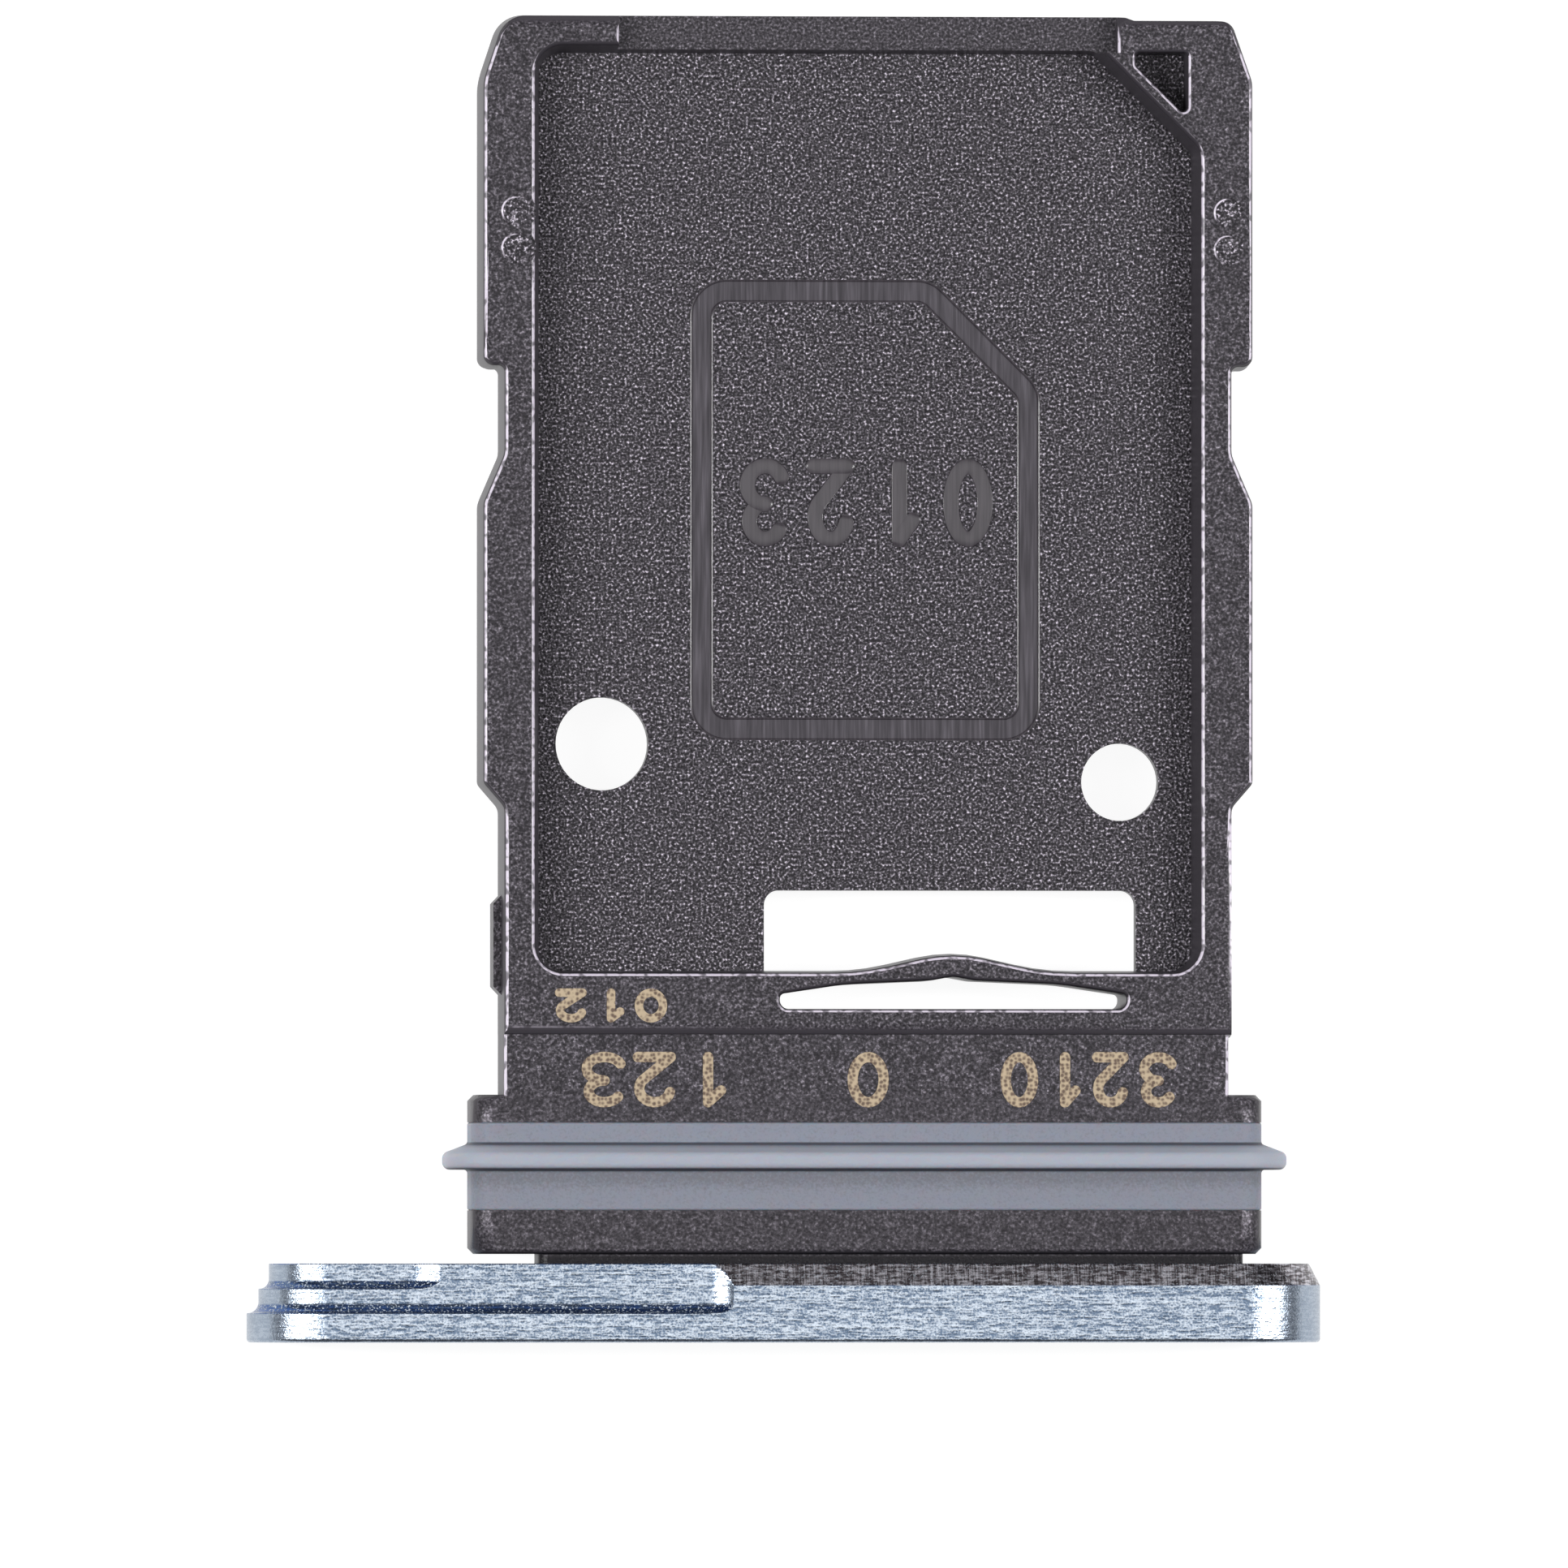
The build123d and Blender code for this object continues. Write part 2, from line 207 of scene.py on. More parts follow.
def plasticMaterial(name, rimSpeckle):
    # Spark-eroded dark plastic: its colour rises with the exponent of the grain towards the glint colour, a
    # painted sparkle of the crater rims, strongest in the pockets;
    # edges that face the lights get a painted highlight in dots, the flange's sides a painted highlight and
    # the tongue painted shade; walls and the sunk card outline are plain
    look = plasticLook
    material, place, normal, link = newMaterial(name, {"Specular IOR Level": look["specular"]})
    along, facing = place.axis("Y"), normal.axis("Y")
    fromMiddle = place.axis("Z").away(middleZ)
    level = normal.axis("Z").away(0.0)
    flange = (along - sealHigh[1]).over(*look["flangeTop"])
    tongue = (along - sealLow[1]).over(*look["tongueTop"])
    tip = (along - trayHigh[1]).over(*look["tipSlope"]) * facing.over(*look["tipFacing"])
    flat = level.over(*look["flatLevel"])
    flat = flat.math("MAXIMUM", flat, flange * level.over(*look["flangeLevel"]))
    # painted highlight on the edge breaks that face the lights, in dots
    edge = level.over(*look["edgeLevel"]) * level.over(*look["edgeEnd"]) * (1 - flange) * (1 - tip)
    edge = edge * facing.over(*look["edgeFacing"])
    # painted highlight on the flange's rounded sides
    flangeHighlight = flange * level.over(*look["shineLevel"]) * level.over(*look["shineEnd"])
    flangeHighlight = flangeHighlight * facing.away(0.0).over(*look["shineFacing"])
    wall = level.over(*look["wallLevel"])
    pocket = fromMiddle.over(*look["pocketHeight"])
    recess = fromMiddle.over(*look["recessHeight"]) * level.over(*look["recessLevel"])
    grain = place.noise(look["grainPerMm"], detail=1.0, rough=0.55)
    craters = place.cells(look["grainPerMm"])
    brush = brushLines(place)
    dots = place.noise(look["dotsPerMm"], detail=1.0).over(*look["dotsRange"])
    rim, plain = look["rimGrain"], look["betweenDots"]
    share = flat * (rim + pocket * (1 - rim)) * (1 - recess)
    height = (craters * look["craterShare"] + grain * look["noiseShare"]) * share
    height = height + brush * recess * look["brushShare"]
    speckle = rimSpeckle + pocket * (look["pocketSpeckle"] - rimSpeckle)
    speckle = speckle * (1 - flange * look["flangeCalm"])
    power = (grain - noiseMiddle) * speckle * flat * (1 - recess)
    power = power + (brush - noiseMiddle) * recess * look["brushSpeckle"]
    # painted shade on the tongue, deep between flange and cap
    tone = power.math("EXPONENT", power) * look["level"] * (1 - tongue * look["tongueShade"])
    tone = tone * (1 - pocket * look["pocketShade"]) * (1 + recess * look["recessShine"])
    tone = tone * (1 + flangeHighlight * look["paintedFlangeHighlight"])
    tone = tone + edge * (plain + dots * (1 - plain)) * look["paintedEdgeGlint"]
    rough = look["edgeRoughness"] + flat * (look["grainRoughness"] - look["edgeRoughness"])
    rough = rough + wall * (look["wallRoughness"] - look["edgeRoughness"])
    link(
        Base_Color=tone.blend(look["deep"], look["glint"]),
        Roughness=rough,
        Normal=height.bump(look["grainHeight"]),
    )
    return material


siliconeLook = {
    "deep": (0.185, 0.190, 0.222, 1),  # below the bead, in its painted shadow
    "pale": (0.255, 0.272, 0.330, 1),
    "lip": (0.40, 0.43, 0.50, 1),  # painted glow of light through the thin, translucent lip
    # painted shade in the creases at the bead's feet
    "creaseShade": (0.075, 0.078, 0.10, 1),
    "specular": 0.45,
    "glow": {"Subsurface Weight": 0.6, "Subsurface Scale": 0.15 * mm},  # light that wanders inside the lip
    "mottlePerMm": 7.0,
    "mottleShare": 0.5,
    "grainPerMm": 27.0,
    "grainShare": 2.2,
    "grainHeight": 0.006,
    "shadowShare": 0.9,
    "roughness": 0.52,
    "mottleRoughness": 0.12,
    "beadFoot": (0.01, 0.05),  # mm from the bead's lower edge
    "beadTop": (-0.02, -0.07),  # mm from the bead's upper edge
    "creaseShadeWidth": (0.030, 0.008),
    "shadowFoot": (-0.34, -0.10),
    "shadowTop": (0.02, 0.0),
}


def siliconeMaterial(low, high):
    # Matte blue-grey silicone: mottled bands, a painted shadow just below the bead, a pale bead with a
    # painted glow between painted shade in the creases
    look = siliconeLook
    sockets = {"Specular IOR Level": look["specular"], **look["glow"]}
    material, place, _, link = newMaterial("mattSilicone", sockets)
    along = place.axis("Y")
    fromLow, fromHigh = along - low, along - high
    mottle = place.noise(look["mottlePerMm"], detail=4.0, rough=0.6)
    grain = place.noise(look["grainPerMm"], rough=0.6)
    bead = fromLow.over(*look["beadFoot"]) * fromHigh.over(*look["beadTop"])
    nearest = along.math("MINIMUM", along.away(low), along.away(high))
    creaseShade = nearest.over(*look["creaseShadeWidth"])
    shadow = fromLow.over(*look["shadowFoot"]) * fromLow.over(*look["shadowTop"])
    tone = 1 - shadow * look["shadowShare"] + (mottle - noiseMiddle) * look["mottleShare"]
    tone = tone + (grain - noiseMiddle) * look["grainShare"]
    colour = tone.blend(look["deep"], look["pale"])
    link(
        Base_Color=creaseShade.blend(bead.blend(colour, look["lip"]), look["creaseShade"]),
        Roughness=look["roughness"] + mottle * look["mottleRoughness"],
        Normal=grain.bump(look["grainHeight"]),
    )
    return material


anodisedLook = {
    "deep": (0.120, 0.168, 0.245, 1),
    "pale": (0.56, 0.625, 0.705, 1),
    "slopeShadeDeep": (0.055, 0.120, 0.33, 1),  # painted shade on the milled shoulders, which face the tray
    # the bevel's colours are a painted dark reflection of the tray
    "bevelReflectionDeep": (0.080, 0.068, 0.074, 1),
    "bevelReflectionPale": (0.64, 0.62, 0.67, 1),
    "linePerMm": 18.0,  # cutter lines along the cap, and short streaks and blasted pits between them
    "lineLong": 0.5,  # lines, streaks and bevel marks to the millimetre of their own length
    "lineShare": 0.24,
    "lineHeight": 0.004,
    "streakPerMm": 33.0,
    "streakLong": 7.0,
    "streakShare": 0.38,
    "blastPerMm": 36.0,
    "blastShare": 0.38,
    "blastHeight": 0.003,
    "bevelPerMm": 55.0,
    "bevelLong": 2.0,
    "acrossShare": 0.45,  # of the bevel's tone, the rest is streaks
    "toneRange": (0.40, 0.60),
    "bevelRange": (0.40, 0.68),
    "glintSpeckRange": (0.59, 0.68),
    "bevelCalm": 0.6,  # painted glint specks that the bevel lacks
    "roundedTone": 0.55,  # the round ends are more even
    "roundedShare": 0.75,
    "roughness": 0.20,
    "blastRoughness": 0.14,
    "slopeStart": (0.10, 0.32),  # how much a face looks towards the tray, for these three pairs
    "slopeEnd": (0.98, 0.92),
    "sideEnd": (0.95, 0.7),
    "roundedLevel": (0.99, 0.93),  # how much it looks up or down
    "bevelFade": (-0.015, 0.015),  # mm, across the bevel and then along it
    "bevelRunIn": (0.0, 0.2),
}


def anodisedMaterial(bevelX, bevelY):
    # Light blue anodised metal: blasted pits on the flats, lines along the sides, across on the bevel;
    # slopes towards the tray get painted shade in deep blue and the bevel a painted dark reflection, both
    # with white specks that are painted glints at random pits
    look = anodisedLook
    material, place, normal, link = newMaterial("blueAnodised", {})
    facing = normal.axis("Y")
    level = normal.axis("Z").away(0.0)
    side = facing.away(0.0).over(*look["sideEnd"])
    slope = facing.over(*look["slopeStart"]) * facing.over(*look["slopeEnd"])
    bevel = slope * (place.axis("Y") - bevelY).over(*look["bevelFade"])
    bevel = bevel * (place.axis("X") - bevelX).over(*look["bevelRunIn"])
    lineLong, streakLong, bevelLong = look["lineLong"], look["streakLong"], look["bevelLong"]
    lines = place.stretched(lineLong, look["linePerMm"], lineLong).noise(1.0, rough=0.6)
    streaks = place.stretched(streakLong, look["streakPerMm"], streakLong).noise(1.0, detail=1.0)
    across = place.stretched(look["bevelPerMm"], bevelLong, bevelLong).noise(1.0, detail=1.0)
    blast = place.noise(look["blastPerMm"], detail=1.0)
    lineBump = ((lines + streaks) * side).bump(look["lineHeight"])
    even = (look["streakShare"] + look["lineShare"]) / 2
    rounded = level.over(*look["roundedLevel"]) * side * (1 - slope)
    tone = (streaks * look["streakShare"] + lines * look["lineShare"]) * side + (1 - side) * even
    tone = (tone + blast * look["blastShare"]).over(*look["toneRange"])
    tone = tone + rounded * (look["roundedTone"] - tone) * look["roundedShare"]
    marks = across * look["acrossShare"] + streaks * (1 - look["acrossShare"])
    tone = tone + bevel * (marks.over(*look["bevelRange"]) - tone)
    # painted shade on the slopes towards the tray, and a painted dark reflection on the bevel
    deep = bevel.blend(slope.blend(look["deep"], look["slopeShadeDeep"]), look["bevelReflectionDeep"])
    pale = bevel.blend(slope.blend(look["pale"], look["deep"]), look["bevelReflectionPale"])
    # white specks on the slopes: painted glints at random pits, not metal
    paintedGlint = blast.over(*look["glintSpeckRange"]) * slope * (1 - bevel * look["bevelCalm"])
    link(
        Base_Color=paintedGlint.blend(tone.blend(deep, pale), look["pale"]),
        Metallic=1 - paintedGlint,
        Roughness=look["roughness"] + blast * look["blastRoughness"],
        Normal=blast.bump(look["blastHeight"], Normal=lineBump),
    )
    return material


markLook = {
    "tan": (0.52, 0.41, 0.275, 1),
    "burn": (0.135, 0.088, 0.062, 1),
    "dotsPerMm": 17.0,
    "dotsLoose": 0.7,  # how far the dots stray from a grid
    "dotsRange": (0.46, 0.98),
    "cloudPerMm": 22.0,
    "cloudShare": 0.6,
    "roughness": 0.62,
}


def laserMaterial():
    # Tan laser marking: a dark burnt dot round each cell's centre, and a faint cloud
    look = markLook
    material, place, _, link = newMaterial("tanLaserMark", {"Roughness": look["roughness"]})
    cloud = place.noise(look["cloudPerMm"]) * look["cloudShare"]
    dots = (place.cells(look["dotsPerMm"], look["dotsLoose"]) + cloud).over(*look["dotsRange"])
    link(Base_Color=dots.blend(look["burn"], look["tan"]))
    return material


smoothLook = {
    "deep": (0.042, 0.036, 0.043, 1),
    "pale": (0.066, 0.058, 0.067, 1),
    "specular": 0.5,
    "toneRange": (0.3, 0.7),
    "roughness": 0.16,
    "brushRoughness": 0.12,
    "brushHeight": 0.0015,
}


def smoothMaterial():
    # The same plastic where the mould was polished: fine brush lines only
    look = smoothLook
    material, place, _, link = newMaterial("polishedPlastic", {"Specular IOR Level": look["specular"]})
    brush = brushLines(place)
    link(
        Base_Color=brush.over(*look["toneRange"]).blend(look["deep"], look["pale"]),
        Roughness=look["roughness"] + brush * look["brushRoughness"],
        Normal=brush.bump(look["brushHeight"]),
    )
    return material


def dress(mesh, name, material, replaced=None, sharp=50):
    # Puts a mesh into the scene as a finished piece on the one body
    mesh.shade_smooth()
    mesh.set_sharp_from_angle(angle=math.radians(sharp))
    mesh.materials.append(material)
    piece = bpy.data.objects.new(name, mesh)
    bpy.context.scene.collection.objects.link(piece)
    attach(piece, "root")
    if replaced:
        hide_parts(replaced)
    return piece


def gridMesh(name, points, closedU=False, closedV=False):
    # points[u, v] are places in mm; quads join neighbours, and a closed direction meets its own start
    number = np.arange(points.shape[0] * points.shape[1]).reshape(points.shape[:2])
    if closedU:
        number = np.concatenate([number, number[:1]], axis=0)
    if closedV:
        number = np.concatenate([number, number[:, :1]], axis=1)
    corners = [number[:-1, :-1], number[1:, :-1], number[1:, 1:], number[:-1, 1:]]
    quads = np.stack(corners, axis=-1).reshape(-1, 4)
    mesh = bpy.data.meshes.new(name)
    mesh.from_pydata(points.reshape(-1, 3) * mm, [], quads)
    return mesh


def joinedCopy(node, name):
    # A solid's own triangles, with corners at one place joined into one
    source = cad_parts[node].data
    places = np.empty(len(source.vertices) * 3, np.float32)
    source.vertices.foreach_get("co", places)
    loops = np.empty(len(source.loops), np.int32)
    source.loops.foreach_get("vertex_index", loops)
    places, number = np.unique(np.round(places.reshape(-1, 3), 8), axis=0, return_inverse=True)
    mesh = bpy.data.meshes.new(name)
    mesh.from_pydata(places, [], number.reshape(-1)[loops].reshape(-1, 3))
    return mesh


def roundedLine(corners, radii, steps=8):
    # A closed line with each corner replaced by an arc: its centre lies on the corner's bisector
    corners = np.array(corners, float)
    radii = np.array(radii, float)[:, None]
    back = np.roll(corners, 1, axis=0) - corners
    ahead = np.roll(corners, -1, axis=0) - corners
    back /= np.linalg.norm(back, axis=1, keepdims=True)
    ahead /= np.linalg.norm(ahead, axis=1, keepdims=True)
    bisector = back + ahead
    bisector /= np.linalg.norm(bisector, axis=1, keepdims=True)
    halfSine = np.sqrt((1 - (back * ahead).sum(1, keepdims=True)) / 2)
    centres = corners + bisector * radii / halfSine
    trim = radii * np.sqrt(1 - halfSine**2) / halfSine
    first = corners + back * trim - centres
    last = corners + ahead * trim - centres
    turn = (np.pi - 2 * np.arcsin(halfSine))[:, None]
    share = np.linspace(0, 1, steps)[None, :, None]
    arc = np.sin((1 - share) * turn) * first[:, None] + np.sin(share * turn) * last[:, None]
    return (centres[:, None] + arc / np.sin(turn)).reshape(-1, 2)


edgeShading = {
    "limit": 50,  # degrees; faces further apart keep a sharp edge
    "flatLevel": 0.999,  # faces that look up or down more than this are flats
    "flatWeight": 1000,
    "wallLevel": 0.3,  # and less than this are walls
    "wallWeight": 30,
}


def edgeNormals(mesh):
    # Each corner's normal is the mean over the faces there within the limit; flats count most, then walls
    s = edgeShading
    own = np.empty(len(mesh.polygons) * 3, np.float32)
    mesh.polygons.foreach_get("normal", own)
    own = np.repeat(own.reshape(-1, 3), 3, axis=0)
    vertex = np.empty(len(mesh.loops), np.int32)
    mesh.loops.foreach_get("vertex_index", vertex)
    level = np.abs(own[:, 2])
    weight = np.where(level < s["wallLevel"], s["wallWeight"], 1)
    weight = np.where(level > s["flatLevel"], s["flatWeight"], weight)
    order = np.argsort(vertex, kind="stable")
    first = np.searchsorted(vertex[order], vertex)
    count = np.bincount(vertex)[vertex]
    total = np.zeros_like(own)
    for turn in range(count.max()):
        other = order[first + np.minimum(turn, count - 1)]
        near = (turn < count) & ((own * own[other]).sum(1) > math.cos(math.radians(s["limit"])))
        total += own[other] * (weight[other] * near)[:, None]
    mesh.normals_split_custom_set(total / np.linalg.norm(total, axis=1, keepdims=True))


def trayBody(material):
    # The moulded tray, with the flats kept flat where the small edge breaks are shaded round
    mesh = joinedCopy("tray_body", "trayBody")
    piece = dress(mesh, "trayBody", material, "tray_body", sharp=180)
    edgeNormals(mesh)
    return piece


sealShape = {
    "depth": 0.25,  # into the flange
    "cornerRound": 0.33,
    "beadStart": 0.55,
    "beadCrest": 0.22,
    "beadSlope": 0.13,
    "beadProud": 0.34,
    "beadRound": 0.10,
    "footRound": 0.05,
    "rimRound": 0.035,
    "innerRound": 0.02,
    "turnSteps": 100,  # points round the four corners
}


def sealRing(material):
    # The lip-shaped profile carried round the flange's rounded rectangle, out along its normal
    s = sealShape
    start, end = sealLow[1], sealHigh[1]
    low = start + s["beadStart"]
    crest = low + s["beadCrest"]
    corners = [(-s["depth"], start), (0, start), (0, low), (s["beadProud"], low)]
    corners += [(s["beadProud"], crest), (0, crest + s["beadSlope"]), (0, end), (-s["depth"], end)]
    radii = [s["innerRound"], s["rimRound"], s["footRound"], s["beadRound"]]
    profile = roundedLine(corners, radii + radii[::-1])
    halfX = (sealHigh[0] - sealLow[0]) / 2 - s["beadProud"] - s["cornerRound"]
    halfZ = (sealHigh[2] - sealLow[2]) / 2 - s["beadProud"] - s["cornerRound"]
    turn = np.linspace(0, 2 * np.pi, s["turnSteps"], endpoint=False) + np.pi / s["turnSteps"]
    turn = turn[:, None]
    out = s["cornerRound"] + profile[None, :, 0]
    x = trayX + np.sign(np.cos(turn)) * halfX + np.cos(turn) * out
    z = middleZ + np.sign(np.sin(turn)) * halfZ + np.sin(turn) * out
    y = np.broadcast_to(profile[None, :, 1], x.shape)
    points = np.stack([x, y, z], axis=-1)[::-1]
    mesh = gridMesh("sealRing", points, closedU=True, closedV=True)
    return dress(mesh, "sealRing", material, "seal_ring")


capShape = {
    "faceRound": 0.05,
    "bevelDepth": 0.77,
    "bevelInset": 0.155,
    "backRound": 0.015,
    "holeRadius": 0.55,
    "holeFromEnd": 1.19,
    "holeLip": 0.14,
    "leastReach": 0.02,  # of a run-out in the grid
    "runSteps": (24, 24, 60, 24, 90),  # along a side, from one stop or run-out to the next
    "endSteps": 72,
    "edgeSteps": 9,
    "noseSteps": 15,
    "lipSteps": 13,
    "plainRows": 26,
    "bendRow": 0.01,  # mm from a bend to the row that holds it
    "bendSteps": 5,
    "faceShares": (0.01, 0.1, 0.35, 0.65, 0.9, 0.99),  # rows across the back and the outer face
    "sharp": 40,  # degrees
}
outerStep = {"base": 0.0, "cut": 0.16, "nose": 0.15, "low": 0.395, "stop": 6.16, "cutter": 0.48}
innerStep = {"base": 0.16, "cut": 0.14, "nose": 0.13, "low": 0.725, "stop": 2.09, "cutter": 0.78}


def stepFloor(step, depth):
    # How far a milled step lies in at a depth: a small rounded edge, then the cutter's round nose
    brim = step["cut"] - step["nose"]
    edge = np.clip((depth - step["low"] + brim) / brim, 0, 1)
    nose = np.clip((depth - step["low"]) / step["nose"], 0, 1)
    convex = brim * (1 - np.sqrt(1 - edge**2))
    concave = step["nose"] * np.sqrt(1 - (1 - nose) ** 2)
    return step["base"] + convex + concave


def cutterReach(step, depth):
    # How far past its stop the round cutter still cuts: its own radius there against its axis's distance
    axis = step["cutter"] - step["cut"]
    radius = axis + stepFloor(step, depth) - step["base"]
    return np.sqrt(np.maximum(radius**2 - axis**2, 0))


def milledInset(step, x, depth):
    # The step's floor up to the stop, then the cutter's circle rising out of the surface
    past = np.maximum(x - (capLow[0] + step["stop"]), 0)
    axis = step["cutter"] - step["cut"]
    floor = stepFloor(step, depth)
    radius = axis + floor - step["base"]
    circle = step["base"] - axis + np.sqrt(np.maximum(radius**2 - past**2, 0))
    return np.where(depth > step["low"] - step["cut"] + step["nose"], np.clip(circle, 0, floor), 0)


def capRows():
    # Depths from the outer face, close together where the side's profile bends
    c = capShape
    quarter = np.linspace(0, np.pi / 2, c["edgeSteps"])
    bend = 1 - np.cos(np.linspace(0, np.pi / 2, c["noseSteps"]))
    rows = [c["faceRound"] * (1 - np.cos(quarter))]
    for step in (outerStep, innerStep):
        brim = step["cut"] - step["nose"]
        rows.append(step["low"] - brim + brim * np.sin(quarter))
        rows.append(step["low"] + step["nose"] * bend)
    rows.append(c["bevelDepth"] + np.linspace(-c["bendRow"], c["bendRow"], c["bendSteps"]))
    rows.append(capDepth - c["backRound"] + c["backRound"] * np.sin(quarter))
    rows.append(np.linspace(c["faceRound"], capDepth - c["backRound"], c["plainRows"]))
    return np.unique(np.round(np.concatenate(rows), 5))


def edgeFall(depth):
    # How far the side falls back at its two rounded edges, a quarter circle each
    c = capShape
    face = np.clip(1 - depth / c["faceRound"], 0, 1)
    back = np.clip((depth - capDepth) / c["backRound"] + 1, 0, 1)
    return c["faceRound"] * (1 - np.sqrt(1 - face**2)) + c["backRound"] * (1 - np.sqrt(1 - back**2))


def sideRuns(depth, endX):
    # Places along a straight side, in even stretches whose ends follow the cutters' run-outs
    c = capShape
    knots = [np.full_like(depth, -endX)]
    for step in (innerStep, outerStep):
        stop = np.full_like(depth, capLow[0] + step["stop"])
        knots += [stop, stop + np.maximum(cutterReach(step, depth), c["leastReach"])]
    knots.append(np.full_like(depth, endX))
    runs = [
        low + (high - low) * np.linspace(0, 1, count, endpoint=False)[:, None]
        for low, high, count in zip(knots[:-1], knots[1:], c["runSteps"])
    ]
    return np.concatenate(runs)


def capSide():
    # Round ends and straight sides of the bar, set in by its edges and by the deepest of bevel and steps
    c = capShape
    depth = capRows()[None, :]
    halfHeight = (capHigh[2] - capLow[2]) / 2
    endX = capHigh[0] - halfHeight
    bevel = c["bevelInset"] * np.clip((depth - c["bevelDepth"]) / (capDepth - c["bevelDepth"]), 0, 1)
    plain = halfHeight - edgeFall(depth)

    def stepped(x):
        # the bar's half height at a place along it
        milled = [milledInset(step, x, depth) for step in (outerStep, innerStep)]
        return plain - np.maximum(np.maximum(*milled), bevel)

    def roundEnd(side, radius):
        # half circles: side 1 goes up round the right end, side -1 down round the left
        angle = np.linspace(0, np.pi, c["endSteps"])[:, None]
        x = side * (endX + radius * np.sin(angle))
        return np.stack([x, depth + 0 * angle, -side * radius * np.cos(angle)], axis=-1)

    x = sideRuns(depth, endX)
    height = stepped(x)
    lower = np.stack([x, depth + 0 * x, -height], axis=-1)
    upper = np.stack([x, depth + 0 * x, height], axis=-1)[::-1]
    right = roundEnd(1, plain - bevel)
    left = roundEnd(-1, stepped(np.array([[-endX]])))
    return np.concatenate([lower[1:], right, upper[:-1], left], axis=0)


tongueShape = {
    "width": 9.57,
    "thickness": 0.95,
    "round": 0.15,
    "offset": 0.33,  # right of the tray's middle
    "seat": 0.55,  # into the cap
    "gap": 0.02,  # for the glue
}


def socketBlock():
    # The tongue's rounded section, wider by the glue's gap, carried from its seat out past the cap's back
    t = tongueShape
    halfX, halfZ = t["width"] / 2 + t["gap"], t["thickness"] / 2 + t["gap"]
    corners = [(-halfX, -halfZ), (halfX, -halfZ), (halfX, halfZ), (-halfX, halfZ)]
    line = roundedLine(corners, [t["round"] + t["gap"]] * len(corners)) + (trayX + t["offset"], middleZ)
    x, z = (np.repeat(line[:, [axis]], 2, axis=1) for axis in (0, 1))
    y = np.broadcast_to(capHigh[1] + np.array([-t["seat"], t["seat"]]), x.shape)
    number = np.arange(x.size).reshape(x.shape)
    after = np.roll(number, -1, axis=0)
    walls = np.stack([number[:, 0], number[:, 1], after[:, 1], after[:, 0]], axis=1).tolist()
    ends = [number[:, 0].tolist(), number[::-1, 1].tolist()]
    block = bpy.data.meshes.new("tongueSocket")
    block.from_pydata(np.stack([x, y, z], axis=-1).reshape(-1, 3), [], walls + ends)
    return block


def cutOut(mesh, block):
    # One closed mesh less a block that is in millimetres, worked out in millimetres
    mesh.transform(Matrix.Scale(1 / mm, 4))
    pieces = [bpy.data.objects.new(data.name, data) for data in (mesh, block)]
    for piece in pieces:
        bpy.context.scene.collection.objects.link(piece)
    cut = pieces[0].modifiers.new("socket", "BOOLEAN")
    cut.operation = "DIFFERENCE"
    cut.solver = "EXACT"
    cut.object = pieces[1]
    graph = bpy.context.evaluated_depsgraph_get()
    result = bpy.data.meshes.new_from_object(pieces[0].evaluated_get(graph))
    for piece in pieces:
        bpy.data.objects.remove(piece)
    result.transform(Matrix.Scale(mm, 4))
    return result


def cap(material):
    # One closed skin, of the side, the back, the eject hole with its rounded lip and the outer face,
    # less the socket for the tongue
    c = capShape
    side = capSide()
    hole = np.array([capLow[0] + c["holeFromEnd"], 0.0])
    away = side[:, 0][:, [0, 2]] - hole
    away /= np.linalg.norm(away, axis=1, keepdims=True)

    def rings(radius, depth):
        # circles round the hole, each point in line with the outline's point
        flat = hole + away[:, None] * np.array(radius)[None, :, None]
        deep = np.broadcast_to(np.array(depth)[None, :], flat.shape[:2])
        return np.stack([flat[..., 0], deep, flat[..., 1]], axis=-1)

    share = np.array(c["faceShares"])[None, :, None]
    quarter = np.linspace(0, np.pi / 2, c["lipSteps"])
    lipRadius = c["holeRadius"] + c["holeLip"] * (1 - np.cos(quarter))
    lip = rings(lipRadius, c["holeLip"] * (1 - np.sin(quarter)))
    wall = rings([c["holeRadius"]] * 3, [capDepth, capDepth - c["bendRow"], capDepth / 2])
    backFace = side[:, -1:] * (1 - share) + wall[:, :1] * share
    outerFace = lip[:, -1:] * (1 - share) + side[:, :1] * share
    points = np.concatenate([side, backFace, wall, lip, outerFace], axis=1)
    points = points + np.array([0, capLow[1], middleZ])
    mesh = cutOut(gridMesh("cap", points, closedU=True, closedV=True), socketBlock())
    return dress(mesh, "metalCap", material, "cap", sharp=c["sharp"])


pinMarks = {
    "radius": 0.185,
    "width": 0.045,  # of the sloping edge
    "proud": 0.018,
    "sink": 0.001,
    "eye": 0.004,  # the grid's open middle
    "steepMean": 0.55,
    "steepSwing": 0.45,
    "steepSide": 0.88,  # half turns from +X, towards the tip's left
    "sharpness": 4,
    "leftX": -3.69,
    "rightX": 5.97,
    "rows": (6.30, 5.80),
    "turnSteps": 64,
    "outSteps": 40,
}


